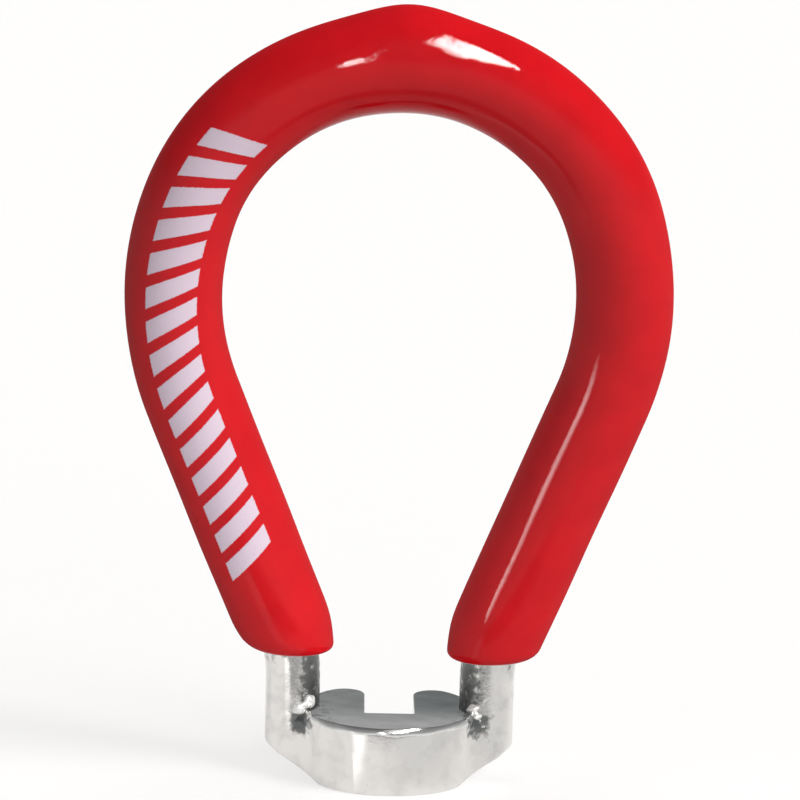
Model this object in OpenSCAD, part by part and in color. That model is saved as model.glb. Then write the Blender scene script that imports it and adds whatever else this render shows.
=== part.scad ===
// Spoke wrench: a loop of round steel wire, dipped in soft vinyl, whose two ends
// stand as posts in the sides of a thick slotted disc and are welded to it.
// Millimetres. +Z runs up the spoke, the slot opens towards +Y, and z = 0 is the
// flat base of the disc. The loop leans towards -Y, so a spoke passes behind it.

/* [Slotted head] */
// Diameter of the disc
head_d = 13; // [12.4:0.1:13.6]
// Thickness of the disc
head_t = 5; // [4.2:0.1:5.8]
// Radius of the rounded rim, top and bottom
rim_r = 0.35; // [0.2:0.05:0.5]
// Width across the flats of the spoke nipple that the slot takes
nipple_w = 3.45; // [3.2:0.05:3.7]
// Play of the nipple in the slot
slot_clearance = 0.15; // [0.05:0.05:0.25]
// Radius in the two corners of the slot's closed end
slot_corner_r = 0.2; // [0.1:0.05:0.4]
// Radius of the two corners at the slot's mouth
horn_r = 1.5; // [1:0.1:1.8]
// Width of the flat base between the two ground bevels
base_flat_w = 9.7; // [9:0.1:10.2]
// Slope of the ground bevels from the base
bevel_angle = 29; // [20:1:38]

/* [Wire handle] */
// Diameter of the steel wire
wire_d = 4; // [3.6:0.1:4.4]
// How deep each post is let into the side of the disc
post_seat = 1.35; // [1.1:0.05:1.6]
// Height of the corner where the post's axis meets the leg's axis
bend_height = 9.35; // [8.9:0.05:10.4]
// Radius of the bend between post and leg, on the wire's axis
bend_r = 11; // [8:0.5:12]
// Outward slope of each leg
flare_angle = 21.3; // [18:0.1:25]
// Forward lean of the legs and the loop
lean_angle = 8; // [5:0.5:12]
// Radius of the top of the loop, on the wire's axis
loop_top_r = 15.85; // [15:0.05:18]
// Radius of the sides of the loop, on the wire's axis
loop_side_r = 20.4; // [19:0.1:23]
// Half of the angle that the top arc spans
top_arc_angle = 72; // [60:1:80]

/* [Welds] */
// Radius of the hollow face that fairs the disc's rim into the post
weld_fillet_r = 3; // [2:0.25:4]
// Thickness of the weld where it runs out on disc and post
weld_toe = 0.06; // [0.04:0.01:0.1]
// Radius of the lump where a weld ends, above the disc
weld_cap_r = 1.05; // [0.9:0.05:1.2]
// Height of the middle of that lump above the top of the disc
weld_cap_rise = 0.2; // [0:0.05:0.4]

/* [Vinyl coat] */
// Thickness of the coat round the wire
coat_t = 1.6; // [1.2:0.1:1.9]
// Height of the level line down to which the handle was dipped
dip_height = 9.25; // [8.6:0.05:10]
// Radius of the coat's rounded lip
lip_r = 1.2; // [0.8:0.1:1.2]
// Slope of the coat's run-out above the lip, from level
lip_slope = 60; // [56:1:62]
// How far the cured drip stands out of the top of the loop
drip_rise = 0.55; // [0.3:0.05:0.8]
// Thickness of the drip, where it merges into the coat
drip_d = 5.2; // [4.6:0.1:5.6]
// Radius of the drip's arc, on its own axis
drip_r = 11; // [10:0.5:12]
// Half of the angle that the drip's arc spans
drip_angle = 36; // [34:1:40]

/* [Hidden] */
$fn = 96;
// Overrun of the cuts
overrun = 1;
// Bent stretches of the rod are thinner by this step, and reach this far into the next ones
seam_step = 0.02;
seam_lap = 0.25;

head_r = head_d / 2;
wire_r = wire_d / 2;
post_x = head_r + wire_r - post_seat;
slot_w = nipple_w + slot_clearance;
slot_end = slot_w / 2;
coat_d = wire_d + 2 * coat_t;

// Direction of the right leg, and the bend that turns the post into it
leg_dir = [sin(flare_angle), -cos(flare_angle) * sin(lean_angle), cos(flare_angle) * cos(lean_angle)];
bend_angle = acos(leg_dir[2]);
bend_heading = atan2(leg_dir[1], leg_dir[0]);
bend_tangent = bend_r * tan(bend_angle / 2);
bend_low = bend_height - bend_tangent;
bend_high = bend_low + bend_r * sin(bend_angle);

// Loop, in its own plane: x across, and heights up from the bends' corners
radius_step = loop_side_r - loop_top_r;
side_centre_x = -radius_step * sin(top_arc_angle);
leg_top_x = side_centre_x + loop_side_r * cos(flare_angle);
leg_length = (leg_top_x - post_x) / sin(flare_angle);
side_centre_up = leg_length * cos(flare_angle) + loop_side_r * sin(flare_angle);
top_centre_up = side_centre_up + radius_step * cos(top_arc_angle);

// Groove between the disc's rim and the post, which a weld fills
groove_x = (post_x * post_x + head_r * head_r - wire_r * wire_r) / (2 * post_x);
groove_y = sqrt(head_r * head_r - groove_x * groove_x);

// Middle of a weld's hollow face, and where that face runs out on disc and post
fair_disc_r = head_r + weld_toe + weld_fillet_r;
fair_post_r = wire_r + weld_toe + weld_fillet_r;
fair_x = (post_x * post_x + fair_disc_r * fair_disc_r - fair_post_r * fair_post_r) / (2 * post_x);
fair_y = sqrt(fair_disc_r * fair_disc_r - fair_x * fair_x);
toe_on_disc = [fair_x, fair_y] * (head_r + weld_toe) / fair_disc_r;
toe_on_post = [post_x, 0] + [fair_x - post_x, fair_y] * (wire_r + weld_toe) / fair_post_r;

// Rounded corner at the slot's mouth: its centre, and its point on the disc's rim
horn_x = slot_w / 2 + horn_r;
horn_y = sqrt((head_r - horn_r) * (head_r - horn_r) - horn_x * horn_x);
horn_tip = [horn_x, horn_y] * head_r / (head_r - horn_r);

// Sideways shift of the bent wire's axis at a height above the base
function axis_shift(z) =
    z <= bend_low ? 0 :
    z <= bend_high ? bend_r - sqrt(bend_r * bend_r - (z - bend_low) * (z - bend_low)) :
    bend_r * (1 - cos(bend_angle)) + (z - bend_high) * tan(bend_angle);

module both_sides() {
    for (side = [0, 1]) mirror([side, 0, 0]) children();
}

// Round rod bent to an arc in the XZ plane about the origin, angles from +X towards +Z
module arc_rod(d, r, from, to) {
    rotate([90, 0, 0]) rotate([0, 0, from]) rotate_extrude(angle = to - from) translate([r, 0]) circle(d = d);
}

// Arc of rod that reaches into the stretches before and after it
module lapped_arc_rod(d, r, from, to) {
    lap = asin(seam_lap / r);
    arc_rod(d - seam_step, r, from - lap, to + lap);
}

// Post from a height above the base up to the bend
module post(d, from) {
    translate([post_x, 0, from]) cylinder(d = d, h = bend_low - from);
}

// Bend, leg and loop of the handle, as a rod of one diameter
module handle_rod(d) {
    both_sides() {
        translate([post_x, 0, bend_low]) rotate([0, 0, bend_heading]) translate([bend_r, 0, 0])
            lapped_arc_rod(d, bend_r, 180 - bend_angle, 180);
        loop_plane() {
            translate([post_x, 0, 0]) rotate([0, flare_angle, 0]) translate([0, 0, bend_tangent])
                cylinder(d = d, h = leg_length - bend_tangent);
            translate([side_centre_x, 0, side_centre_up])
                lapped_arc_rod(d, loop_side_r, -flare_angle, 90 - top_arc_angle);
        }
    }
    loop_plane() translate([0, 0, top_centre_up])
        arc_rod(d, loop_top_r, 90 - top_arc_angle, 90 + top_arc_angle);
}

module loop_plane() {
    translate([0, 0, bend_height]) rotate([lean_angle, 0, 0]) children();
}

// Ground bevels across the lower outer corners of disc, posts and welds
module bevel_cut() {
    reach = post_x + wire_r + overrun - base_flat_w / 2;
    both_sides() translate([base_flat_w / 2, head_r + overrun, 0]) rotate([90, 0, 0])
        linear_extrude(height = head_d + 2 * overrun)
            polygon([[0, 0], [reach, reach * tan(bevel_angle)], [reach, -overrun], [0, -overrun]]);
}

// Disc with a rounded rim, before it is slotted
module head_blank() {
    rotate_extrude() {
        square([head_r - rim_r, head_t]);
        translate([0, rim_r]) square([head_r, head_t - 2 * rim_r]);
        for (z = [rim_r, head_t - rim_r]) translate([head_r - rim_r, z]) circle(r = rim_r);
    }
}

// Plan of the slot, with rounded inner corners and a rounded mouth
module slot_plan() {
    translate([-slot_w / 2, slot_corner_r - slot_end])
        square([slot_w, slot_end - slot_corner_r + head_r + overrun]);
    translate([slot_corner_r - slot_w / 2, -slot_end])
        square([slot_w - 2 * slot_corner_r, slot_end + head_r + overrun]);
    both_sides() {
        translate([slot_w / 2 - slot_corner_r, slot_corner_r - slot_end]) circle(r = slot_corner_r);
        difference() {
            polygon([[slot_w / 2, horn_y], [horn_x, horn_y], horn_tip, [horn_tip[0], head_r + overrun],
                     [slot_w / 2, head_r + overrun]]);
            translate([horn_x, horn_y]) circle(r = horn_r);
        }
    }
}

// Slotted steel disc, with a round seat in each side for a post
module wrench_head() {
    color("silver") difference() {
        head_blank();
        translate([0, 0, -overrun]) linear_extrude(height = head_t + 2 * overrun) slot_plan();
        both_sides() post(wire_d, -overrun);
        bevel_cut();
    }
}

// Steel wire, from one post round the loop to the other
module handle_wire() {
    color("lightgray") difference() {
        union() {
            both_sides() post(wire_d, 0);
            handle_rod(wire_d);
        }
        bevel_cut();
    }
}

// Weld in one groove between disc and post: a hollow fairing, and the lump where it ends
module weld(left, rear) {
    color("gainsboro") mirror([left, 0, 0]) mirror([0, 1 - rear, 0]) difference() {
        union() {
            linear_extrude(height = head_t - rim_r) difference() {
                polygon([toe_on_disc, toe_on_post, [groove_x, 0]]);
                translate([fair_x, fair_y]) circle(r = weld_fillet_r);
            }
            translate([groove_x, groove_y, head_t + weld_cap_rise]) sphere(r = weld_cap_r);
        }
        union() {
            head_blank();
            post(wire_d, -overrun);
        }
        bevel_cut();
    }
}

// Everything below the level dip line, round one leg, with the lip's rounding
module lip_trim() {
    coat_r = coat_d / 2;
    flat_r = coat_r - lip_r;
    reach = coat_d + overrun;
    rise = lip_r + (reach - coat_r) * tan(lip_slope);
    depth = dip_height - head_t + overrun;
    translate([post_x, 0, 0]) rotate([0, 0, bend_heading]) translate([axis_shift(dip_height), 0, dip_height])
        rotate_extrude() difference() {
            polygon([[0, -depth], [reach, -depth], [reach, rise], [coat_r, lip_r], [flat_r, 0], [0, 0]]);
            translate([flat_r, lip_r]) circle(r = lip_r);
        }
}

// Drip that cured on the top of the loop, which hung lowest after dipping
module drip() {
    drip_up = top_centre_up + loop_top_r + coat_d / 2 + drip_rise - drip_d / 2 - drip_r;
    loop_plane() translate([0, 0, drip_up]) arc_rod(drip_d, drip_r, 90 - drip_angle, 90 + drip_angle);
}

// Vinyl coat cured on the wire, open at both lips
module vinyl_grip() {
    color("crimson") difference() {
        union() {
            both_sides() post(coat_d, head_t);
            handle_rod(coat_d);
            drip();
        }
        both_sides() post(wire_d, head_t - overrun);
        handle_rod(wire_d);
        both_sides() lip_trim();
    }
}

handle_wire();
wrench_head();
weld(1, 0);  // weld_front_left
weld(0, 0);  // weld_front_right
weld(1, 1);  // weld_rear_left
weld(0, 1);  // weld_rear_right
vinyl_grip();
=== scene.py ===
import bmesh
import bpy
import numpy as np
from mathutils import Matrix, Vector


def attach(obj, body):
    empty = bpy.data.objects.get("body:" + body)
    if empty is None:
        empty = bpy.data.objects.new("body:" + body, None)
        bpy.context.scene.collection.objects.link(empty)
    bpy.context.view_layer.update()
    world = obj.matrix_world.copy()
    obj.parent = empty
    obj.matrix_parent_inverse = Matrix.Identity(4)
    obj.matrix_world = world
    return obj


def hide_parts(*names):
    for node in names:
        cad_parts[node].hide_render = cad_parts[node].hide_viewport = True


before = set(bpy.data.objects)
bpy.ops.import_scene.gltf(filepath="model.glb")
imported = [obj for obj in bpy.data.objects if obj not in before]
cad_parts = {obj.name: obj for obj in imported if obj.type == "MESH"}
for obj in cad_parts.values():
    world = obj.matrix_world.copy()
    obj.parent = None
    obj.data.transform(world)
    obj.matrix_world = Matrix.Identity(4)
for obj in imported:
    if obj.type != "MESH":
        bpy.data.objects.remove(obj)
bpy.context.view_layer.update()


# Slotted head
# A thick steel disc, slotted for a square spoke nipple, with a seat in each side for the wire and a
# bevel ground across each lower corner. Tumbling softened its edges, and it is plated with nickel.
HEAD_R, HEAD_T = 6.5, 5.0
SLOT_HALF, SLOT_CORNER_R = 1.8, 0.2
HORN_R = 1.5
BASE_HALF, BEVEL_SLOPE, BEVEL_SOFT = 4.85, np.tan(np.radians(29)), 0.06
WIRE_R, POST_X = 2.0, 7.15
# Radius of each edge, and where one runs into the next: from y to y on the horns, and near the seat
RIM_R, SLOT_EDGE_R, SEAT_EDGE_R, TIP_EDGE_R = 0.22, 0.12, 0.03, 0.15
TIP_TO_RIM, SLOT_TO_TIP, SEAT_REACH = (4.6, 2.6), (3.2, 4.9), 0.3
# A worn edge rounds slowly up to an angle, and from there on with a small share of its radius
WORN_TO, CORNER_SHARE = 36, 0.06
# Points on an arc, on a side of the plan and on its front, and the angle on the rim where the front starts
ARC_POINTS, SIDE_POINTS, FRONT_POINTS, FRONT_FROM = 400, 170, 60, -50
# A millimetre, and how close two points have to be to count as one, in metres
MM, SAME_POINT = 0.001, 1e-7


def unit(vectors):
    """The same directions with length one: each vector over the root of the sum of its squares."""
    return vectors / np.linalg.norm(vectors, axis=-1, keepdims=True)


def mixed(start, end, shares):
    """Straight runs of points from start to end, with one more axis for the shares: start by what is
    left of the way plus end by the share of it."""
    shares = shares[:, None]
    return start[:, None] * (1 - shares) + end[:, None] * shares


def eased(x, low, high):
    """A step from 0 at low to 1 at high that leaves and arrives level: 3t squared less 2t cubed."""
    t = np.clip((x - low) / (high - low), 0, 1)
    return t * t * (3 - 2 * t)


def ground_base(x):
    """Height of the underside at x: the larger of zero and the bevel's rise, with the corner between
    them softened, which is half of the rise plus the root of its square and of a small square."""
    rise = (np.abs(x) - BASE_HALF) * BEVEL_SLOPE
    return 0.5 * (rise + np.sqrt(rise**2 + BEVEL_SOFT**2))


def flat_top(x):
    """Height of the disc's flat top at x, the same everywhere."""
    return np.full_like(x, HEAD_T)


def rim_wear(x):
    """Uneven wear along the rim: one plus 0.16 of a sine of x with a short wave times a cosine with a
    long one."""
    return 1 + 0.16 * np.sin(1.9 * x + 0.6) * np.cos(0.7 * x)


def arc(centre, radius, start, end):
    """Points on a circle from one angle to another in degrees: the centre plus the radius by cosine and
    sine."""
    turn = np.radians(np.linspace(start, end, ARC_POINTS))
    return np.stack([centre[0] + radius * np.cos(turn), centre[1] + radius * np.sin(turn)], -1)


def paced(lines, count):
    """The lines joined to one and walked in count points, at equal steps of its length."""
    line = np.concatenate(lines)
    walk = np.concatenate([[0], np.cumsum(np.linalg.norm(np.diff(line, axis=0), axis=1))])
    at = np.linspace(0, walk[-1], count)
    return np.stack([np.interp(at, walk, line[:, 0]), np.interp(at, walk, line[:, 1])], -1)


def rounded_edge(line, outward, radius, level, side, angles, worn=False):
    """Rounded edge along a line on the plan: from the wall, where the angle is 0, inwards by the radius
    and on to the level of the face, where it is 90. It is a quarter circle or, where worn, a long slow
    round up to WORN_TO and a small one from there: the running sums of the bend's radius by the sine
    and by the cosine of the angle. side is 1 at the top and -1 at the base, which follows the
    bevels."""
    turn = np.radians(angles)
    bend = np.where(0.5 * (angles[1:] + angles[:-1]) < WORN_TO, 1.0, CORNER_SHARE) if worn else 1.0
    inwards = np.concatenate([[0], np.cumsum(bend * -np.diff(np.cos(turn)))])
    upwards = np.concatenate([[0], np.cumsum(bend * np.diff(np.sin(turn)))])
    size = np.abs(inwards[-1])
    inwards, upwards = (inwards - inwards.min()) / size, (upwards - upwards.max()) / size
    plan = line[:, None] - outward[:, None] * (radius[:, None] * inwards)[..., None]
    height = level(plan[..., 0]) + side * radius[:, None] * upwards
    return np.concatenate([plan, height[..., None]], -1)


def in_scene(name, data):
    """New object of a mesh, a lamp or a camera, at the origin of the scene."""
    made = bpy.data.objects.new(name, data)
    bpy.context.scene.collection.objects.link(made)
    return made


def piece_of(name, *grids, rows_meet=False, marks=None):
    """Object of one or more grids of points, rows by columns by xyz: each cell is a quad, the columns
    run round and meet, and the rows meet where asked. Points that fall together are merged, which
    closes the poles. Marks are a name and a number for each grid, kept on its points for the
    material."""
    quads, count = [], 0
    for grid in grids:
        index = count + np.arange(grid[..., 0].size).reshape(grid.shape[:2])
        first = index if rows_meet else index[:-1]
        second = np.roll(index, -1, 0) if rows_meet else index[1:]
        cells = np.stack([first, np.roll(first, -1, 1), np.roll(second, -1, 1), second], -1)
        quads.append(cells.reshape(-1, 4))
        count += index.size
    mesh = bpy.data.meshes.new(name)
    mesh.from_pydata(np.concatenate([g.reshape(-1, 3) for g in grids]) * MM, [], np.concatenate(quads))
    if marks:
        values = np.concatenate([np.full(g[..., 0].size, mark) for g, mark in zip(grids, marks[1])])
        attribute = mesh.attributes.new(marks[0], "FLOAT", "POINT")
        attribute.data.foreach_set("value", values.astype(np.float32))
    shell = bmesh.new()
    shell.from_mesh(mesh)
    bmesh.ops.remove_doubles(shell, verts=shell.verts, dist=SAME_POINT)
    bmesh.ops.recalc_face_normals(shell, faces=shell.faces)
    shell.to_mesh(mesh)
    shell.free()
    mesh.shade_smooth()
    return in_scene(name, mesh)


horn = np.array([SLOT_HALF + HORN_R, np.sqrt((HEAD_R - HORN_R) ** 2 - (SLOT_HALF + HORN_R) ** 2)])
horn_start = np.degrees(np.arctan2(horn[1], horn[0]))
horn_tip = (horn_start + 180) / 2
seat_x = (POST_X**2 + HEAD_R**2 - WIRE_R**2) / (2 * POST_X)
seat_turn = np.degrees(np.arccos(seat_x / HEAD_R))
seat_end = np.degrees(np.arccos((POST_X - seat_x) / WIRE_R))
corner = np.array([SLOT_HALF - SLOT_CORNER_R, SLOT_CORNER_R - SLOT_HALF])
# Right half of the plan, from the tip of the horn: round the rim past the seat, and down the slot
rim_half = np.concatenate([
    paced([arc(horn, HORN_R, horn_tip, horn_start), arc((0, 0), HEAD_R, horn_start, seat_turn),
           arc((POST_X, 0), WIRE_R, 180 - seat_end, 180 + seat_end),
           arc((0, 0), HEAD_R, -seat_turn, FRONT_FROM)], SIDE_POINTS),
    paced([arc((0, 0), HEAD_R, FRONT_FROM, -90)], FRONT_POINTS)[1:]])
slot_half = np.concatenate([
    paced([arc(horn, HORN_R, horn_tip, 180), arc(corner, SLOT_CORNER_R, 0, -45)], SIDE_POINTS),
    paced([arc(corner, SLOT_CORNER_R, -45, -90), [[0, -SLOT_HALF]]], FRONT_POINTS)[1:]])
rim_line, slot_line = (np.concatenate([h, h[-2::-1] * [-1, 1]]) for h in (rim_half, slot_half))
rim_out = unit(np.gradient(rim_line, axis=0)[:, ::-1] * [-1, 1])
slot_out = unit(np.gradient(slot_line, axis=0)[:, ::-1] * [1, -1])
rim_out[[0, -1]] = slot_out[[0, -1]] = unit(rim_out[[0, -1]] + slot_out[[0, -1]])
rim_edge = RIM_R * rim_wear(rim_line[:, 0])
rim_edge = TIP_EDGE_R + (rim_edge - TIP_EDGE_R) * eased(rim_line[:, 1], *TIP_TO_RIM)
off_seat = np.abs(np.hypot(np.abs(rim_line[:, 0]) - POST_X, rim_line[:, 1]) - WIRE_R)
rim_edge = SEAT_EDGE_R + (rim_edge - SEAT_EDGE_R) * eased(off_seat, 0.0, SEAT_REACH)
slot_edge = SLOT_EDGE_R + (TIP_EDGE_R - SLOT_EDGE_R) * eased(slot_line[:, 1], *SLOT_TO_TIP)

# Steps of an edge in degrees, and of the faces between the edges, which are closer together at their ends
quarter = np.linspace(0, 90, 13)
worn_quarter = np.concatenate([np.linspace(0, WORN_TO, 13), np.linspace(45, 90, 6)])
face_shares = np.array([0.012, 0.04, 0.1, 0.2, 0.35, 0.5, 0.65, 0.8, 0.9, 0.96, 0.988])
base_shares = np.concatenate([[0.012], np.linspace(0.04, 0.96, 26), [0.988]])
wall_shares = np.array([0.015, 0.06, 0.15, 0.3, 0.5, 0.7, 0.85, 0.94, 0.985])
rim_foot = rounded_edge(rim_line, rim_out, rim_edge, ground_base, -1, quarter[::-1])
rim_head = rounded_edge(rim_line, rim_out, rim_edge, flat_top, 1, worn_quarter, True)
slot_head = rounded_edge(slot_line, slot_out, slot_edge, flat_top, 1, quarter[::-1])
slot_foot = rounded_edge(slot_line, slot_out, slot_edge, ground_base, -1, quarter)
underside = mixed(slot_foot[:, -1], rim_foot[:, 0], base_shares)
underside[..., 2] = ground_base(underside[..., 0])
wrench_head = piece_of("slotted_head", np.concatenate([
    rim_foot, mixed(rim_foot[:, -1], rim_head[:, 0], wall_shares), rim_head,
    mixed(rim_head[:, -1], slot_head[:, 0], face_shares), slot_head,
    mixed(slot_head[:, -1], slot_foot[:, 0], wall_shares), slot_foot, underside], 1))
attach(wrench_head, "root")
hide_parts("wrench_head")


def node(tree, kind, sockets=(), **settings):
    """New shader node of a kind, with its settings, and each socket given set to a value or linked to
    an output."""
    made = tree.nodes.new("ShaderNode" + kind)
    for name, value in settings.items():
        setattr(made, name, value)
    for name, value in dict(sockets).items():
        if isinstance(value, bpy.types.NodeSocket):
            tree.links.new(value, made.inputs[name])
        else:
            made.inputs[name].default_value = value
    return made


def worked(tree, operation, *values, **settings):
    """Output of a Math node: its operation on the values, of which each is a number or an output."""
    return node(tree, "Math", dict(enumerate(values)), operation=operation, **settings).outputs[0]


def ramp(tree, value, low, high, start=0.0, end=1.0, smooth=False):
    """Output that runs from start, where the value is low, to end, where it is high, and is level
    beyond them: a straight line or, where smooth, a curve that leaves and arrives level."""
    sockets = {"Value": value, "From Min": low, "From Max": high, "To Min": start, "To Max": end}
    return node(tree, "MapRange", sockets, interpolation_type="SMOOTHSTEP" if smooth else "LINEAR").outputs[0]


def tinted(tree, share, first, second, way="MIX"):
    """Colour between two, each a colour or an output: what is left of the first plus the share of the
    second or, where the way is MULTIPLY, of their product."""
    first, second = ((*colour, 1.0) if isinstance(colour, tuple) else colour for colour in (first, second))
    sockets = {"Factor": share, 6: first, 7: second}
    return node(tree, "Mix", sockets, data_type="RGBA", blend_type=way).outputs[2]


def place_on(tree):
    """Place on a piece in millimetres: its Object coordinates, which are metres, over a millimetre."""
    metres = node(tree, "TexCoord").outputs["Object"]
    return node(tree, "VectorMath", {0: metres, "Scale": 1 / MM}, operation="SCALE").outputs[0]


def axes_of(tree, vector):
    """The x, y and z of a vector, as outputs."""
    return node(tree, "SeparateXYZ", {0: vector}).outputs


def clouds(tree, place, **sockets):
    """Noise over a place, from 0 to 1 and mostly near a half, with the scale and the other sockets
    given."""
    return node(tree, "TexNoise", {"Vector": place, **sockets}).outputs[0]


def bumped(tree, height):
    """Normal of a surface with a fine relief, whose height is in millimetres."""
    return node(tree, "Bump", {"Height": height, "Distance": MM, "Strength": 1.0}).outputs["Normal"]


def feed(tree, inputs, outputs):
    """Links each output to the input that it is named for."""
    for name, output in outputs.items():
        tree.links.new(output, inputs[name])


def finish_of(name, **constants):
    """New material with a Principled shader whose constant sockets are set by name; returns it, tree
    and shader."""
    material = bpy.data.materials.new(name)
    material.use_nodes = True
    shader = material.node_tree.nodes["Principled BSDF"]
    for socket, value in constants.items():
        shader.inputs[socket.replace("_", " ")].default_value = value
    return material, material.node_tree, shader


def effect(name, inputs, outputs):
    """New shader node group with float inputs and their defaults, and float outputs, by name; returns
    it with the sockets inside it that give its inputs and those that take its outputs."""
    group = bpy.data.node_groups.new(name, "ShaderNodeTree")
    for label, value in inputs.items():
        socket = group.interface.new_socket(label, in_out="INPUT", socket_type="NodeSocketFloat")
        socket.default_value = value
    for label in outputs:
        group.interface.new_socket(label, in_out="OUTPUT", socket_type="NodeSocketFloat")
    return group, group.nodes.new("NodeGroupInput").outputs, group.nodes.new("NodeGroupOutput").inputs


# Tumbled plate: broad shallow dents, cloudy smudges and fine pits, sized in millimetres
SMUDGED = 0.46, 0.70
tumbled_plate, given, put = effect(
    "tumbled_plate",
    {"Dent Depth": 0.03, "Pit Depth": 0.004, "Smudge": 0.12, "Gloss Loss": 0.08, "Roughness": 0.11},
    ["Tone", "Roughness", "Height"])
place = place_on(tumbled_plate)
dents = clouds(tumbled_plate, place, Scale=0.42, Detail=1.5, Roughness=0.45)
smudges = clouds(tumbled_plate, place, Scale=0.6, Detail=3.0, Roughness=0.55, Distortion=0.2)
pits = clouds(tumbled_plate, place, Scale=4.5, Detail=3.0, Roughness=0.6)
smudged = ramp(tumbled_plate, smudges, *SMUDGED)
shade = worked(tumbled_plate, "MULTIPLY", smudged, given["Smudge"])
dented = worked(tumbled_plate, "MULTIPLY", dents, given["Dent Depth"])
feed(tumbled_plate, put, {
    "Tone": worked(tumbled_plate, "SUBTRACT", 1.0, shade),
    "Roughness": worked(tumbled_plate, "MULTIPLY_ADD", smudged, given["Gloss Loss"], given["Roughness"]),
    "Height": worked(tumbled_plate, "MULTIPLY_ADD", pits, given["Pit Depth"], dented)})


# Weld burn and painted shade: dark mottles of burn round each weld, painted shade on the posts' inner
# sides and a painted shadow on them under the coat's lips, and a painted darker reflection on the top of
# the disc towards the horns. A pair gives the places where a mark starts and where it is full.
BURN_AT, BURN_SHAPE, BURN_REACH = (6.6, 0.0, 4.3), (1.05, 0.0, 0.95), (1.4, 0.3)
POST_INSIDE, POST_PAINTED_SHADE, OFF_SLOT, ABOVE_DISC = (7.5, 5.9), 0.85, (2.6, 5.4), (4.7, 5.3)
UNDER_LIP, LIP_PAINTED_SHADOW = (8.0, 9.6), 0.6
MOTTLED, BROKEN = 1.6, (0.34, 0.72)
# The painted darker reflection on the flat top: from what y to what it grows towards the back, from what x to
# what it grows to the right, its share on the left, and how near the top's height counts as on it
TOP_TINT_BACK, TOP_TINT_ASIDE, TOP_TINT_LEFT, TOP_WITHIN = (-5.4, 1.0), (-4.0, 4.0), 0.6, 0.06
weld_burn_and_painted_shade, given, put = effect("weld_burn_and_painted_shade", {"Flat Top": 0.0}, ["Mask", "Painted Top Tint", "Height"])
place = place_on(weld_burn_and_painted_shade)
# The four welds are folded into one by the size of x, y and z
folded = node(weld_burn_and_painted_shade, "VectorMath", {0: place}, operation="ABSOLUTE").outputs[0]
spot = node(weld_burn_and_painted_shade, "VectorMath", {0: folded, 1: BURN_AT}, operation="SUBTRACT").outputs[0]
spot = node(weld_burn_and_painted_shade, "VectorMath", {0: spot, 1: BURN_SHAPE}, operation="MULTIPLY").outputs[0]
spot = node(weld_burn_and_painted_shade, "VectorMath", {0: spot}, operation="LENGTH").outputs["Value"]
spot = ramp(weld_burn_and_painted_shade, spot, *BURN_REACH)
axes = axes_of(weld_burn_and_painted_shade, folded)
# Painted shade between the posts: darker on their inner sides, above the disc and away from the slot
posts_painted_shade = ramp(weld_burn_and_painted_shade, axes[0], *POST_INSIDE, 0.0, POST_PAINTED_SHADE)
posts_painted_shade = worked(weld_burn_and_painted_shade, "MULTIPLY", posts_painted_shade, ramp(weld_burn_and_painted_shade, axes[2], *ABOVE_DISC))
posts_painted_shade = worked(weld_burn_and_painted_shade, "MULTIPLY", posts_painted_shade, ramp(weld_burn_and_painted_shade, axes[0], *OFF_SLOT))
# Painted shadow on the posts under the coat's lips
under_lip_shadow = ramp(weld_burn_and_painted_shade, axes[2], *UNDER_LIP, 0.0, LIP_PAINTED_SHADOW)
# One mask for the real burn round the welds and for the painted shade and shadow
burn_and_shade = worked(weld_burn_and_painted_shade, "MAXIMUM", worked(weld_burn_and_painted_shade, "MAXIMUM", posts_painted_shade, under_lip_shadow), spot)
mottle = clouds(weld_burn_and_painted_shade, place, Scale=1.7, Detail=3.0, Roughness=0.55)
uneven = worked(weld_burn_and_painted_shade, "MULTIPLY_ADD", mottle, MOTTLED, -0.5 * MOTTLED)
broken = ramp(weld_burn_and_painted_shade, worked(weld_burn_and_painted_shade, "ADD", burn_and_shade, uneven), *BROKEN)
on_top = worked(weld_burn_and_painted_shade, "COMPARE", axes[2], HEAD_T, TOP_WITHIN)
on_top = worked(weld_burn_and_painted_shade, "MULTIPLY", on_top, given["Flat Top"])
signed = axes_of(weld_burn_and_painted_shade, place)
# Painted darker reflection on the flat top, growing towards the back and the horns and to the right
back = ramp(weld_burn_and_painted_shade, signed[1], *TOP_TINT_BACK, smooth=True)
top_tint_share = worked(weld_burn_and_painted_shade, "MULTIPLY", back, ramp(weld_burn_and_painted_shade, signed[0], *TOP_TINT_ASIDE, TOP_TINT_LEFT))
relief = worked(weld_burn_and_painted_shade, "MULTIPLY", burn_and_shade, mottle)
flat = worked(weld_burn_and_painted_shade, "MULTIPLY", relief, on_top)
feed(weld_burn_and_painted_shade, put, {"Mask": broken, "Painted Top Tint": worked(weld_burn_and_painted_shade, "MULTIPLY", top_tint_share, on_top),
                      "Height": worked(weld_burn_and_painted_shade, "SUBTRACT", relief, flat)})

# The dark grey serves the weld burn and the painted shade; the dark tint is the top's painted darker
# reflection
NICKEL, BURN_AND_SHADE_GREY, PAINTED_TOP_TINT = (0.73, 0.718, 0.70), (0.15, 0.155, 0.15), (0.085, 0.10, 0.10)
BURN_DULLS, BURN_RELIEF = 0.24, 0.07


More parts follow.
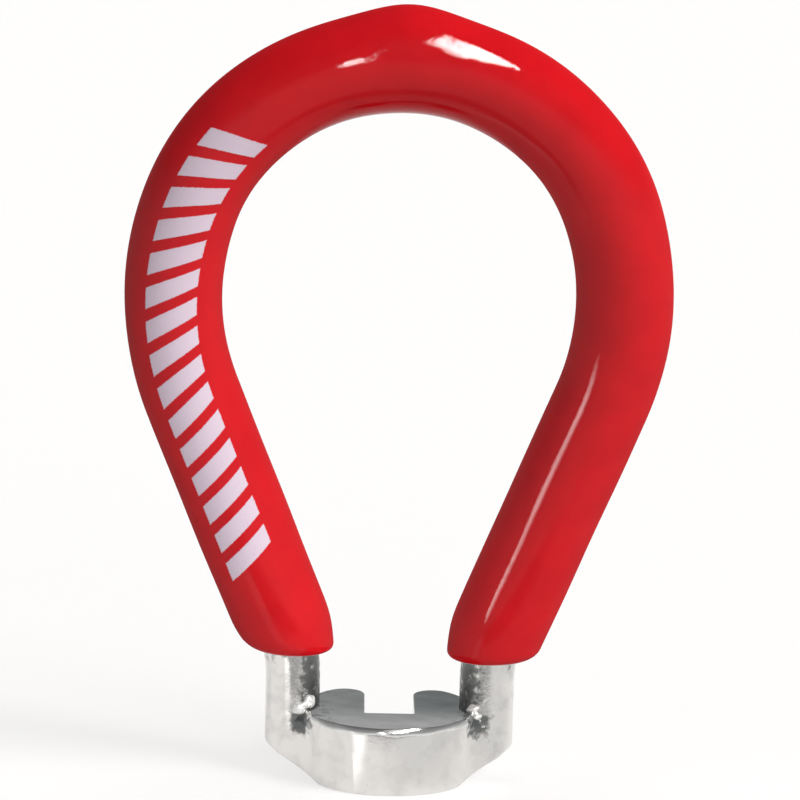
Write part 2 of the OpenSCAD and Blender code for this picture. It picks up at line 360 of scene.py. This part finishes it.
def plated(name, flat_top=0.0, **depths):
    """Nickel plate: the tumbled_plate effect with its own values darkens the colour, dulls the gloss
    and dents it, and the burn and shade group darkens, dulls and roughens it round the welds, paints
    shade between the posts and a shadow under the lips, and paints a darker reflection on a flat top."""
    material, tree, shader = finish_of(name, Metallic=1.0)
    depths = {socket.replace("_", " "): value for socket, value in depths.items()}
    wear = node(tree, "Group", depths, node_tree=tumbled_plate).outputs
    burn_and_shade = node(tree, "Group", {"Flat Top": flat_top}, node_tree=weld_burn_and_painted_shade).outputs
    tint = tinted(tree, 1.0, NICKEL, wear["Tone"], "MULTIPLY")
    # A flat top takes a painted darker reflection towards the horns
    tint = tinted(tree, burn_and_shade["Painted Top Tint"], tint, PAINTED_TOP_TINT)
    height = worked(tree, "MULTIPLY_ADD", burn_and_shade["Height"], BURN_RELIEF, wear["Height"])
    feed(tree, shader.inputs, {
        # Dark grey for the burn round the welds and for the painted shade between the posts and under the
        # lips
        "Base Color": tinted(tree, burn_and_shade["Mask"], tint, BURN_AND_SHADE_GREY),
        "Roughness": worked(tree, "MULTIPLY_ADD", burn_and_shade["Mask"], BURN_DULLS, wear["Roughness"]),
        "Normal": bumped(tree, height)})
    return material


wrench_head.data.materials.append(plated("plated_head", 1.0))


# Wire handle
# One length of round steel wire, bent to a teardrop loop that leans towards the user. Its two ends come
# down as straight posts, sit in the sides of the disc, and are ground with it on the bevels.
BEND_HEIGHT, BEND_R = 9.35, 11.0
FLARE, LEAN, TOP_ARC = np.radians([21.3, 8.0, 72.0])
LOOP_TOP_R, LOOP_SIDE_R = 15.85, 20.4
POST_EDGE_R, POST_FREE = 0.2, 3.5
WIRE_ROWS, WIRE_ROUND = 361, 64

leg_dir = np.array([np.sin(FLARE), -np.cos(FLARE) * np.sin(LEAN), np.cos(FLARE) * np.cos(LEAN)])
bend_angle = np.arccos(leg_dir[2])
bend_heading = unit(leg_dir * [1, 1, 0])
bend_low = BEND_HEIGHT - BEND_R * np.tan(bend_angle / 2)
side_x = -(LOOP_SIDE_R - LOOP_TOP_R) * np.sin(TOP_ARC)
leg_length = (side_x + LOOP_SIDE_R * np.cos(FLARE) - POST_X) / np.sin(FLARE)
side_up = leg_length * np.cos(FLARE) + LOOP_SIDE_R * np.sin(FLARE)
top_up = side_up + (LOOP_SIDE_R - LOOP_TOP_R) * np.cos(TOP_ARC)
# Where the top arc, the side arc, the leg, the bend and the post end, along the wire from the top of the loop
stretch_ends = np.cumsum([LOOP_TOP_R * TOP_ARC, LOOP_SIDE_R * (np.pi / 2 - TOP_ARC + FLARE),
                          leg_length - BEND_R * np.tan(bend_angle / 2), BEND_R * bend_angle, bend_low])
wire_half = stretch_ends[-1]
loop_front = np.array([0, -np.cos(LEAN), -np.sin(LEAN)])


def handle_axis(s):
    """Point on the wire's axis at a length s from the top of the loop, positive to the right, with its
    direction, outward normal and forward normal. Each stretch is a circle or a line: the top arc, the
    side arc, the leg, the bend and the post; the left half is the mirror image of the right."""
    a = np.abs(s)
    top = np.minimum(a, stretch_ends[0]) / LOOP_TOP_R
    side = np.clip(a - stretch_ends[0], 0, stretch_ends[1] - stretch_ends[0]) / LOOP_SIDE_R
    side = np.pi / 2 - TOP_ARC - side
    down = np.clip(a - stretch_ends[1], 0, stretch_ends[2] - stretch_ends[1])
    on_top, on_loop = a < stretch_ends[0], a < stretch_ends[2]
    x = np.where(on_top, LOOP_TOP_R * np.sin(top), side_x + LOOP_SIDE_R * np.cos(side) - down * np.sin(FLARE))
    up = np.where(on_top, top_up + LOOP_TOP_R * np.cos(top),
                  side_up + LOOP_SIDE_R * np.sin(side) - down * np.cos(FLARE))
    run_x, run_up = np.where(on_top, np.cos(top), np.sin(side)), np.where(on_top, -np.sin(top), -np.cos(side))
    bend = np.clip(stretch_ends[3] - a, 0, bend_angle * BEND_R) / BEND_R
    drop = np.clip(a - stretch_ends[3], 0, None)
    low = (np.array([POST_X, 0, bend_low]) + bend_heading * (BEND_R * (1 - np.cos(bend)))[..., None]
           + np.array([0, 0, 1]) * (BEND_R * np.sin(bend) - drop)[..., None])
    low_run = -bend_heading * np.sin(bend)[..., None] - np.array([0, 0, 1]) * np.cos(bend)[..., None]
    high = np.stack([x, -np.sin(LEAN) * up, BEND_HEIGHT + np.cos(LEAN) * up], -1)
    high_run = np.stack([run_x, -np.sin(LEAN) * run_up, np.cos(LEAN) * run_up], -1)
    left = (s < 0)[..., None]
    point = np.where(on_loop[..., None], high, low)
    run = np.where(on_loop[..., None], high_run, low_run)
    point = np.where(left, point * [-1, 1, 1], point)
    run = np.where(left, run * [1, -1, -1], run)
    front = unit(loop_front - (run @ loop_front)[..., None] * run)
    return point, run, np.cross(front, run), front


def tube(s, turn, radius):
    """Points round the wire's axis: the axis at s, plus the radius times the cosine of the turn
    outwards and times its sine forwards."""
    point, _, outward, front = handle_axis(s)
    return point + radius[..., None] * (np.cos(turn)[..., None] * outward + np.sin(turn)[..., None] * front)


around = np.linspace(0, 2 * np.pi, WIRE_ROUND, endpoint=False)
free = np.linspace(-1, 1, WIRE_ROWS)[:, None] * (wire_half - POST_FREE) + 0 * around
wire_run = tube(free, around + 0 * free, np.full_like(free, WIRE_R))
# Foot of a post: down its side to the ground end, round the edge, and in to the middle of the end face
side_shares = np.linspace(0, 1, 12)[1:, None]
edge_turn = np.linspace(0, np.pi / 2, 7)[1:, None]
end_shares = np.array([0.03, 0.12, 0.3, 0.5, 0.7, 0.85, 1.0])[:, None]
foot_radius = np.concatenate([np.full_like(side_shares, WIRE_R),
                              WIRE_R + POST_EDGE_R * (np.cos(edge_turn) - 1),
                              (WIRE_R - POST_EDGE_R) * (1 - end_shares)]) + 0 * around
foot_x = POST_X + foot_radius * np.cos(around)
side_z, edge_z, end_z = np.split(ground_base(foot_x), np.cumsum([len(side_shares), len(edge_turn)]))
foot_z = np.concatenate([POST_FREE + side_shares * (side_z + POST_EDGE_R - POST_FREE),
                         edge_z + POST_EDGE_R * (1 - np.sin(edge_turn)), end_z])
foot = np.stack([foot_x, -foot_radius * np.sin(around), foot_z], -1)
handle_wire = piece_of("wire_handle", np.concatenate([foot[::-1] * [-1, 1, 1], wire_run, foot]))
# It is left out of reflections: one post doesn't show in the other, nor in the disc
handle_wire.visible_glossy = False
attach(handle_wire, "root")
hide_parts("handle_wire")
handle_wire.data.materials.append(plated("plated_wire", Dent_Depth=0.05, Pit_Depth=0.006, Smudge=0.2))


# Welds
# Four short welds fill the grooves between disc and posts. Grinding faired them into both, so only the
# bead and the crinkled skin at their upper ends show. The plate covers them with the rest.
FILLET_R, WELD_SHOULDER, WELD_TOP = 3.0, 3.55, 5.15
# Beyond its arc the face runs on round the disc and round the post, in radians, and sinks into them
DISC_RUN, POST_RUN, SINK = 0.14, 0.45, 0.12
# The shoulder leans towards a point in the joint, less at the ends; rear welds and all ends are lower
LEAN_BACK, LEAN_POWER, BACK_SHARE, JOINT_Y = 1.1, 0.8, 1.25, 0.6
REAR_DROP, END_DROP, END_ARCH = 0.3, 0.55, (0.2, 0.85)
CRINKLE, CRINKLE_BELOW, CRINKLE_ABOVE = 0.045, 0.3, 0.6
# Bead on each weld, from end to end: turn round the post from the disc's side in degrees, and height
BEAD_LEFT, BEAD_RIGHT = [(88, 4.95), (36, 6.0)], [(70, 4.45), (54, 5.75)]
BEAD_R, BEAD_OUT, BEAD_SINK, BEAD_POWER = 0.46, 0.38, 0.06, 0.8
BEAD_BUMPS, BUMP_SWING, BEAD_TWIST = 2, 0.28, 0.05

fillet_x = (POST_X**2 + (HEAD_R + FILLET_R) ** 2 - (WIRE_R + FILLET_R) ** 2) / (2 * POST_X)
fillet = np.array([fillet_x, np.sqrt((HEAD_R + FILLET_R) ** 2 - fillet_x**2)])


def weld_plan(share):
    """Plan of a rear right weld's face: a hollow arc that touches disc and post where the share is 0
    and 1, and that beyond them follows the disc's or the post's circle and sinks into it by a square of
    the share."""
    on_disc, on_post = np.arctan2(*-fillet[::-1]), np.arctan2(-fillet[1], POST_X - fillet[0])
    turn = on_disc + np.clip(share, 0, 1) * (on_post - on_disc)
    hollow = fillet + FILLET_R * np.stack([np.cos(turn), np.sin(turn)], -1)
    before, after = np.clip(-share, 0, None), np.clip(share - 1, 0, None)
    disc_turn = np.arctan2(fillet[1], fillet[0]) + DISC_RUN * before
    post_turn = np.arctan2(fillet[1], fillet[0] - POST_X) - POST_RUN * after
    disc = (HEAD_R - SINK * before**2)[..., None] * np.stack([np.cos(disc_turn), np.sin(disc_turn)], -1)
    post = (WIRE_R - SINK * after**2)[..., None] * np.stack([np.cos(post_turn), np.sin(post_turn)], -1)
    beyond = np.where((share > 1)[..., None], post + [POST_X, 0], hollow)
    return np.where((share < 0)[..., None], disc, beyond)


def crinkle(x, z):
    """Uneven skin of a weld, from -1 to 1: products of sines of x and z at two scales."""
    return (0.6 * np.sin(4.3 * x + 3.1 * z) * np.sin(5.1 * z - 2.2 * x)
            + 0.4 * np.sin(9.7 * x - 4.0) * np.sin(8.3 * z + 4.4 * x))


def weld_fairing(side, rear):
    """Fairing of a weld: its face rises along weld_plan and leans back into the groove over a shoulder,
    a quarter of an ellipse with a crinkled skin, and a hidden back goes down in the joint. The lean and
    the height fall towards its two ends with the arch, which is half a sine wave."""
    share = np.linspace(-1, 2, 91)
    arch = np.sin(np.pi * (share + 1) / 3)[:, None]
    level, shoulder = np.linspace(0, 1, 26), np.linspace(0, np.pi / 2, 30)[1:]
    face = weld_plan(share)
    inward = unit(np.array([seat_x, JOINT_Y]) - face)
    pull = np.concatenate([0 * level, 1 - np.cos(shoulder), 0 * level[1:] + BACK_SHARE])
    plan = face[:, None] + inward[:, None] * (LEAN_BACK * arch**LEAN_POWER * pull)[..., None]
    low = ground_base(plan[..., 0])
    up = np.concatenate([level, 0 * shoulder + 1, 1 - level[1:]])
    rise = WELD_TOP - WELD_SHOULDER - REAR_DROP * (rear > 0) - END_DROP * (1 - eased(arch, *END_ARCH))
    top = WELD_SHOULDER + rise * np.concatenate([0 * level, np.sin(shoulder), 0 * level[1:] + 1])
    height = low + (top - low) * up
    rough = CRINKLE * arch * eased(height, WELD_SHOULDER - CRINKLE_BELOW, WELD_SHOULDER + CRINKLE_ABOVE)
    plan = plan - inward[:, None] * (rough * crinkle(side * plan[..., 0], height))[..., None]
    return np.concatenate([plan, height[..., None]], -1)


def weld_bead(ends):
    """Bead of a weld: a bumpy round carried along the line between its ends on the post, thickest in
    the middle, like a power of a half circle, with a cosine of its length for the bumps and a slight
    twist."""
    along, turn = np.linspace(0, 1, 61)[:, None], np.linspace(0, 2 * np.pi, 40, endpoint=False)
    where, middle_up = (ends[0][i] + (ends[1][i] - ends[0][i]) * along for i in (0, 1))
    bumps = (1 - BUMP_SWING * np.cos(2 * np.pi * BEAD_BUMPS * along)
             + BEAD_TWIST * np.sin(3 * turn + 9 * along))
    thick = np.sqrt(np.clip(1 - (2 * along - 1) ** 2, 0, 1)) ** BEAD_POWER * bumps
    run = unit(np.array([WIRE_R * np.radians(ends[1][0] - ends[0][0]), ends[1][1] - ends[0][1]]))
    aside = BEAD_R * thick * np.cos(turn)
    heading = np.radians(180 - where) - run[1] * aside / WIRE_R
    reach = WIRE_R - BEAD_SINK + BEAD_OUT * thick * np.sin(turn)
    x, y = POST_X + reach * np.cos(heading), reach * np.sin(heading)
    return np.stack([x, y, middle_up - run[0] * aside], -1)


def between(tree, share, first, second):
    """Number between two by the share of the second, of which each is a number or an output."""
    return node(tree, "Mix", {"Factor": share, 2: first, 3: second}).outputs[0]


# The beads are frosted: paler and duller than the ground skin, half matt, with no burn or painted shade on
# them
FROSTED, FROST_ROUGH, FROST_MATT = (0.80, 0.79, 0.78), 0.34, 0.5
weld_metal = plated("weld_metal", Pit_Depth=0.012)
tree = weld_metal.node_tree
sockets = tree.nodes["Principled BSDF"].inputs
on_bead = node(tree, "Attribute", attribute_name="bead").outputs["Fac"]
skin, gloss = (sockets[name].links[0].from_socket for name in ("Base Color", "Roughness"))
feed(tree, sockets, {"Base Color": tinted(tree, on_bead, skin, FROSTED),
                     "Roughness": between(tree, on_bead, gloss, FROST_ROUGH),
                     "Metallic": worked(tree, "MULTIPLY_ADD", on_bead, -FROST_MATT, 1.0)})
for end, side, rear, bead in [("front_left", -1, -1, BEAD_LEFT), ("front_right", 1, -1, BEAD_RIGHT),
                              ("rear_left", -1, 1, BEAD_RIGHT), ("rear_right", 1, 1, BEAD_LEFT)]:
    forms = [form * [side, rear, 1] for form in (weld_fairing(side, rear), weld_bead(bead))]
    weld = piece_of(end + "_weld", *forms, marks=("bead", [0, 1]))
    weld.data.materials.append(weld_metal)
    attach(weld, "root")
    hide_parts("weld_" + end)


# Vinyl grip
# Soft red vinyl, dipped on the hot loop and cured, so it has no seams: a level rounded lip on each leg, a
# drip cured at the top of the loop, slightly uneven walls, and pale ink bars printed on the left leg.
COAT_T, UNEVEN, DIP_LEFT, DIP_RIGHT = 1.5, 0.05, 9.24, 8.87
LEFT_LIP_OUT, RIGHT_LIP_OUT, LIP_IN = 3.6, 1.8, 0.65
LIP_POWER, LIP_ROUNDER = 3.4, 1.3
DRIP_RISE, DRIP_REACH, DRIP_AT, SAG, SAG_REACH = 0.62, 2.8, 0.35, 0.07, 18.0
SWELL, SWELL_REACH, SWELL_AT, LIP_THIN, THIN_REACH = 0.1, 9.0, -41.0, 0.3, 1.7
# The drip and the swell lie on the outer side: from what cosine of the turn to what
DRIP_SIDE, SWELL_SIDE = (0.3, 1.0), (-0.2, 1.0)
# The bore lies a little inside the wire; rows along the coat, its bore and its lips, and points round it
BORE_R = WIRE_R - 0.02
GRIP_ROWS, BORE_ROWS, LIP_ROWS, GRIP_ROUND, DIP_STEPS = 481, 160, 20, 96, 8

grip_turn = np.linspace(-np.pi / 2, 1.5 * np.pi, GRIP_ROUND + 1)[:-1]


def dip_line(height, side):
    """Length along the wire, for each turn round it, at which the middle of the coat's wall meets the
    level of the dip: stepped towards it from the post by the height still missing over the slope of the
    wire."""
    s = np.full_like(grip_turn, wire_half - height) * side
    for _ in range(DIP_STEPS):
        gap = tube(s, grip_turn, np.full_like(s, WIRE_R + 0.5 * COAT_T))[:, 2] - height
        s = s - gap / handle_axis(s)[1][:, 2]
    return s


def bell(s, middle, reach):
    """Smooth hump, 1 at its middle: e to the power of minus the square of the distance over the
    reach."""
    return np.exp(-(((s - middle) / reach) ** 2))


def coat_wall(s, turn):
    """Thickness of the coat: its full wall less slow unevenness, which is two products of sines along
    and round the wire, plus two bells on its outer side, the narrow drip at the top of the loop and a
    wide swell on the left leg, and less the sag, a wide bell at the top that shifts the coat inwards,
    and a bell at each lip that thins its inner side."""
    uneven = (0.5 + 0.25 * np.sin(0.61 * s + 2 * turn)
              + 0.25 * np.sin(0.37 * s - turn + 1.3) * np.cos(0.23 * s))
    drip = DRIP_RISE * bell(s, DRIP_AT, DRIP_REACH) * eased(np.cos(turn), *DRIP_SIDE)
    swell = SWELL * bell(s, SWELL_AT, SWELL_REACH) * eased(np.cos(turn), *SWELL_SIDE)
    sag = SAG * np.cos(turn) * bell(s, 0, SAG_REACH)
    at_lip = bell(s, left_dip, THIN_REACH) + bell(s, right_dip, THIN_REACH)
    return COAT_T - UNEVEN * uneven + drip + swell - sag - LIP_THIN * at_lip * (0.5 - 0.5 * np.cos(turn))


def lip(long_out):
    """Rounded end of the coat, a quarter of a superellipse for each turn round the wire: how far along
    the wire, and what share of the wall, for each step. It is longest and roundest on the outer side of
    the loop."""
    outer = 0.5 + 0.5 * np.cos(grip_turn)
    power = 2 / (LIP_POWER - LIP_ROUNDER * outer)
    step = np.linspace(0, np.pi / 2, LIP_ROWS)[:, None]
    return (LIP_IN + (long_out - LIP_IN) * outer) * (1 - np.cos(step).clip(0) ** power), np.sin(step) ** power


left_dip, right_dip = dip_line(DIP_LEFT, -1), dip_line(DIP_RIGHT, 1)
(left_in, left_up), (right_in, right_up) = lip(LEFT_LIP_OUT), lip(RIGHT_LIP_OUT)
body_shares = np.linspace(0, 1, GRIP_ROWS)[1:-1, None]
body = (left_dip + left_in[-1]) * (1 - body_shares) + (right_dip - right_in[-1]) * body_shares
outer_s = np.concatenate([left_dip + left_in, body, (right_dip - right_in)[::-1]])
outer_lift = np.concatenate([left_up, np.ones_like(body), right_up[::-1]])
bore_shares = np.linspace(0, 1, BORE_ROWS)[:, None]
bore_s = right_dip * (1 - bore_shares) + left_dip * bore_shares
grip_s = np.concatenate([outer_s, bore_s])
grip_round = grip_turn + 0 * grip_s
grip_radius = np.concatenate([WIRE_R + outer_lift * coat_wall(outer_s, grip_turn),
                              np.full_like(bore_s, BORE_R)])
vinyl_grip = piece_of("dipped_grip", tube(grip_s, grip_round, grip_radius), rows_meet=True)
# It is left out of reflections too: the metal shows no red
vinyl_grip.visible_glossy = False
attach(vinyl_grip, "root")
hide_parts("vinyl_grip")
# Place on the left leg for the ink: along it, across it from its front, and how far it faces forward
leg_place = np.stack([-grip_s, (grip_round - np.pi / 2) * grip_radius, np.sin(grip_round)], -1)
leg_attribute = vinyl_grip.data.attributes.new("leg_place", "FLOAT_VECTOR", "POINT")
leg_attribute.data.foreach_set("vector", leg_place.astype(np.float32).ravel())

VINYL_RED, VINYL_DEEP, DEEP_FROM = (0.60, 0.0065, 0.0115), (0.55, 0.0055, 0.0105), (0.35, 0.7)
VINYL_IOR = 1.5
vinyl, tree, shader = finish_of("dipped_vinyl", Specular_IOR_Level=0.0, Coat_IOR=VINYL_IOR,
                                Coat_Roughness=0.05)
place = place_on(tree)
ripples = clouds(tree, place, Scale=0.34, Detail=2.0, Roughness=0.5)
peel = clouds(tree, place, Scale=1.7, Detail=4.0, Roughness=0.6)
dust = clouds(tree, place, Scale=9.0, Detail=2.0, Roughness=0.6)
red = tinted(tree, ramp(tree, ripples, *DEEP_FROM), VINYL_RED, VINYL_DEEP)

# Ink: whole slanted bars, counted along the left leg, with slightly ragged edges and a few worn specks
INK, INK_FACES, INK_SPECKS = (0.70, 0.58, 0.68), (0.1, 0.2), (0.24, 0.30)
BAR_STEP, BAR_WIDTH, BAR_SLANT, BAR_HALF, BARS_FROM, BARS = 2.3, 1.45, 0.5, 1.9, 12.2, 15
BAR_RAGGED, BAR_SOFT = 0.14, 0.03
leg = axes_of(tree, node(tree, "Attribute", attribute_name="leg_place").outputs["Vector"])
ragged = worked(tree, "MULTIPLY_ADD", dust, BAR_RAGGED, -0.5 * BAR_RAGGED)
along = worked(tree, "SUBTRACT", worked(tree, "MULTIPLY_ADD", leg[1], BAR_SLANT, leg[0]), BARS_FROM)
off_bar = worked(tree, "SUBTRACT", worked(tree, "FLOORED_MODULO", along, BAR_STEP), 0.5 * BAR_STEP)
off_row = worked(tree, "SUBTRACT", along, 0.5 * BARS * BAR_STEP)
ink = ramp(tree, leg[2], *INK_FACES)
for off, half in [(off_bar, 0.5 * BAR_WIDTH), (leg[1], BAR_HALF), (off_row, 0.5 * BARS * BAR_STEP)]:
    edge = worked(tree, "ADD", worked(tree, "ABSOLUTE", off), ragged)
    ink = worked(tree, "MULTIPLY", ink, ramp(tree, edge, half + BAR_SOFT, half - BAR_SOFT))
ink = worked(tree, "MULTIPLY", ink, ramp(tree, dust, *INK_SPECKS))

# Skin: slow ripples and a fine peel, deeper round the drip, where the coat ran last, with the ink on top
PEEL_RANGE, PEEL_ROUGH, INK_DULLS = (0.3, 0.75), (0.06, 0.10), 0.25
RIPPLE_DEPTH, PEEL_DEPTH, DRIP_FROM, INK_THICK = 0.02, (0.005, 0.011), (49.0, 53.0), 0.015
gloss = ramp(tree, peel, *PEEL_RANGE, *PEEL_ROUGH)
wave = worked(tree, "MULTIPLY", ripples, RIPPLE_DEPTH)
peel_depth = ramp(tree, axes_of(tree, place)[2], *DRIP_FROM, *PEEL_DEPTH)
relief = worked(tree, "MULTIPLY_ADD", peel, peel_depth, wave)
bump = bumped(tree, worked(tree, "MULTIPLY_ADD", ink, INK_THICK, relief))

# Gloss of the cured skin: much the same from all angles, so the coat goes down as Fresnel's share goes up
# from what it is head-on. Undersides, which nothing rubs, keep more of it, and the ink has less.
HEAD_ON, GLOSS_POWER, SHINE = 0.04, 0.7, 0.35
FACES_DOWN, DOWN_SHINE, INK_MATT = (-0.76, -0.97), 0.8, 0.7
share = node(tree, "Fresnel", {"IOR": VINYL_IOR}).outputs[0]
share = worked(tree, "DIVIDE", HEAD_ON, share, use_clamp=True)
shine = worked(tree, "MULTIPLY", worked(tree, "POWER", share, GLOSS_POWER), SHINE)
down = axes_of(tree, node(tree, "NewGeometry").outputs["Normal"])[2]
shine = between(tree, ramp(tree, down, *FACES_DOWN), shine, DOWN_SHINE)
bare = worked(tree, "MULTIPLY_ADD", ink, -INK_MATT, 1.0)
feed(tree, shader.inputs, {
    "Base Color": tinted(tree, ink, red, INK),
    "Roughness": worked(tree, "MULTIPLY_ADD", ink, INK_DULLS, gloss),
    "Coat Weight": worked(tree, "MULTIPLY", shine, bare), "Normal": bump, "Coat Normal": bump})
vinyl_grip.data.materials.append(vinyl)


# Floor
# A wide table top of pale matt paper that runs out of the picture on all sides. It glows a little for the
# camera and in the reflections, so that it looks white and throws less light back at the tool.
FLOOR_WIDE = 8000.0
PAPER, PAPER_GRAIN, PAPER_SEEN = (0.36, 0.358, 0.355), (0.38, 0.378, 0.375), (0.32, 0.319, 0.318)
PAPER_GLOW, CAMERA_GLOW = 0.64, 0.03
bpy.ops.mesh.primitive_plane_add(size=FLOOR_WIDE * MM)
floor = bpy.context.active_object
floor.name = "pale_floor"
paper, tree, shader = finish_of("pale_paper", Roughness=0.9, Specular_IOR_Level=0.1,
                                Emission_Color=(1.0, 0.995, 0.99, 1.0))
grain = clouds(tree, node(tree, "TexCoord").outputs["Object"], Scale=220.0, Detail=3.0)
ray = node(tree, "LightPath").outputs
tone = tinted(tree, ray["Is Camera Ray"], tinted(tree, grain, PAPER, PAPER_GRAIN), PAPER_SEEN)
seen = worked(tree, "ADD", ray["Is Camera Ray"], ray["Is Glossy Ray"])
seen = worked(tree, "ADD", seen, ray["Is Transmission Ray"])
glow = worked(tree, "MULTIPLY", seen, PAPER_GLOW)
glow = worked(tree, "MULTIPLY_ADD", ray["Is Camera Ray"], CAMERA_GLOW, glow)
feed(tree, shader.inputs, {"Base Color": tone, "Emission Strength": glow})
floor.data.materials.append(paper)


def glow_card(name, corners, glow, soft):
    """Flat card that only shows in reflections: four corners in millimetres, the strength of its glow,
    and what share of its sides the soft edge takes."""
    mesh = bpy.data.meshes.new(name)
    mesh.from_pydata(np.array(corners) * MM, [], [(0, 1, 2, 3)])
    ends = np.array([[0, 0, 0], [1, 0, 0], [1, 1, 0], [0, 1, 0]], np.float32)
    mesh.attributes.new("card_place", "FLOAT_VECTOR", "POINT").data.foreach_set("vector", ends.ravel())
    material, tree, shader = finish_of(name, Base_Color=(0, 0, 0, 1), Specular_IOR_Level=0.0,
                                       Emission_Strength=glow, Emission_Color=(1.0, 0.99, 0.98, 1.0))
    sides = axes_of(tree, node(tree, "Attribute", attribute_name="card_place").outputs["Vector"])
    cover = 1.0
    for side in sides[:2]:
        off = worked(tree, "ABSOLUTE", worked(tree, "SUBTRACT", side, 0.5))
        cover = worked(tree, "MULTIPLY", cover, ramp(tree, off, 0.5, 0.5 - soft, smooth=True))
    feed(tree, shader.inputs, {"Alpha": cover})
    mesh.materials.append(material)
    card = in_scene(name, mesh)
    card.visible_camera = card.visible_diffuse = card.visible_shadow = card.visible_transmission = False


# Cards on the table, one above the other, give the metal its greys and the bright band on the disc
for name, height, glow, soft, corners in [
        ("front_grey_card", 0.05, 0.40, 0.36, [(-32, -18), (30, -15), (30, -47), (-32, -49)]),
        ("right_grey_card", 0.08, 0.86, 0.28, [(-7, -8), (38, 16), (42, -28), (-5, -28)]),
        ("white_strip", 0.11, 1.5, 0.22, [(-1.7, -6.3), (-2.4, -6.0), (-26, -27), (-15, -34)])]:
    glow_card(name, [(*place, height) for place in corners], glow, soft)


# Studio light
# A broad key from the right, fills from the front and from behind, a weak top light and the table's bounce
# shade the tool. Two softboxes and a low strip on the left only show in its gloss, and draw its shine.
WARM, SOFT_WHITE, WHITE, SKY = (1.0, 0.98, 0.95), (1.0, 0.99, 0.98), (1.0, 1.0, 1.0), (0.97, 0.99, 1.0, 1.0)
SOFTBOX_GLOW = 78.0
# Strength of the sky: from what height to what, and from what strength to what, near the horizon and above it
HORIZON, OVERHEAD, SKY_MATT = (-0.05, 0.35, 1.0, 0.36), (0.35, 0.8, 1.0, 0.45), 0.5


def toward(azimuth, elevation):
    """Direction to a lamp: its azimuth, in degrees, is from the camera's side to the right, and its
    elevation up."""
    a, e = np.radians(azimuth), np.radians(elevation)
    return Vector((np.sin(a) * np.cos(e), -np.cos(a) * np.cos(e), np.sin(e)))


def sun(name, azimuth, elevation, width, strength, colour):
    """Lamp at infinity in a direction, whose disc is so many degrees wide. It shades and doesn't show
    in gloss."""
    lamp = bpy.data.lights.new(name, "SUN")
    lamp.energy, lamp.angle, lamp.color = strength, np.radians(width), colour
    lit = in_scene(name, lamp)
    lit.rotation_euler = toward(azimuth, elevation).to_track_quat("Z", "Y").to_euler()
    lit.visible_glossy = False


def panel(name, middle, aim, width, height, radiance, spread=180, gloss=False):
    """Flat oval lamp with its middle at a point, facing another, all in millimetres, with a beam so
    many degrees wide. Its power is its radiance times pi times width and height. It either shades or
    shows in gloss, and the camera misses it."""
    lamp = bpy.data.lights.new(name, "AREA")
    lamp.shape, lamp.size, lamp.size_y, lamp.spread = "ELLIPSE", width * MM, height * MM, np.radians(spread)
    lamp.energy = radiance * np.pi * lamp.size * lamp.size_y
    lit = in_scene(name, lamp)
    lit.location = Vector(middle) * MM
    lit.rotation_euler = (Vector(middle) - Vector(aim)).to_track_quat("Z", "Y").to_euler()
    lit.visible_camera, lit.visible_glossy, lit.visible_diffuse = False, gloss, not gloss


sun("right_key", 62, 36, 30, 2.4, WARM)
sun("front_fill", 22, 16, 40, 1.1, SOFT_WHITE)
sun("back_fill", 195, 35, 40, 0.5, WHITE)
sun("top_light", 180, 80, 40, 0.75, WHITE)
panel("table_bounce", (-12, -28, 2), (-6, -3, 14), 70, 18, 1.0)
panel("leg_strip", (-41.5, -51, 14.5), (12.7, -7.1, 20.8), 20, 27, 0.13, 17, True)
glow_card("softbox", [(78, -574, 265), (240, -239, 563), (320, -300, 450), (98, -548, 285)],
          SOFTBOX_GLOW, 0.04)
glow_card("small_softbox", [(-84, -572, 160), (-80, -551, 245), (-60, -560, 222), (-56, -588, 112)],
          SOFTBOX_GLOW, 0.1)
world = bpy.data.worlds.new("studio")
world.use_nodes = True
tree = world.node_tree
height = axes_of(tree, node(tree, "TexCoord").outputs["Generated"])[2]
low, high = (ramp(tree, height, *stretch, smooth=True) for stretch in (HORIZON, OVERHEAD))
# Matt surfaces take half of the sky's light, so that the side away from the key stays dark
matt = worked(tree, "MULTIPLY_ADD", node(tree, "LightPath").outputs["Is Diffuse Ray"], -SKY_MATT, 1.0)
sky = tree.nodes["Background"].inputs
sky["Color"].default_value = SKY
feed(tree, sky, {"Strength": worked(tree, "MULTIPLY", worked(tree, "MULTIPLY", low, high), matt)})
bpy.context.scene.world = world
bpy.context.scene.view_settings.view_transform = "Standard"


# Camera
# It looks at the tool from the front and slightly above, with the tilt of the photograph.
AIM, AWAY, AZIMUTH, ELEVATION, ROLL = Vector((0.268, 0, 27.973)), 247.15, -0.76, 9.59, 1.33
LENS, SENSOR, NEAR, FAR = 153.0, 36.0, 10.0, 20000.0

turn, tilt = np.radians([AZIMUTH, ROLL])
back, right = toward(AZIMUTH, ELEVATION), Vector((np.cos(turn), np.sin(turn), 0))
rise = back.cross(right)
across, up = right * np.cos(tilt) + rise * np.sin(tilt), rise * np.cos(tilt) - right * np.sin(tilt)
lens = bpy.data.cameras.new("camera")
lens.lens, lens.sensor_width, lens.clip_start, lens.clip_end = LENS, SENSOR, NEAR * MM, FAR * MM
camera = in_scene("camera", lens)
stand = Matrix.Translation((AIM + back * AWAY) * MM)
camera.matrix_world = stand @ Matrix((across, up, back)).transposed().to_4x4()
bpy.context.scene.camera = camera
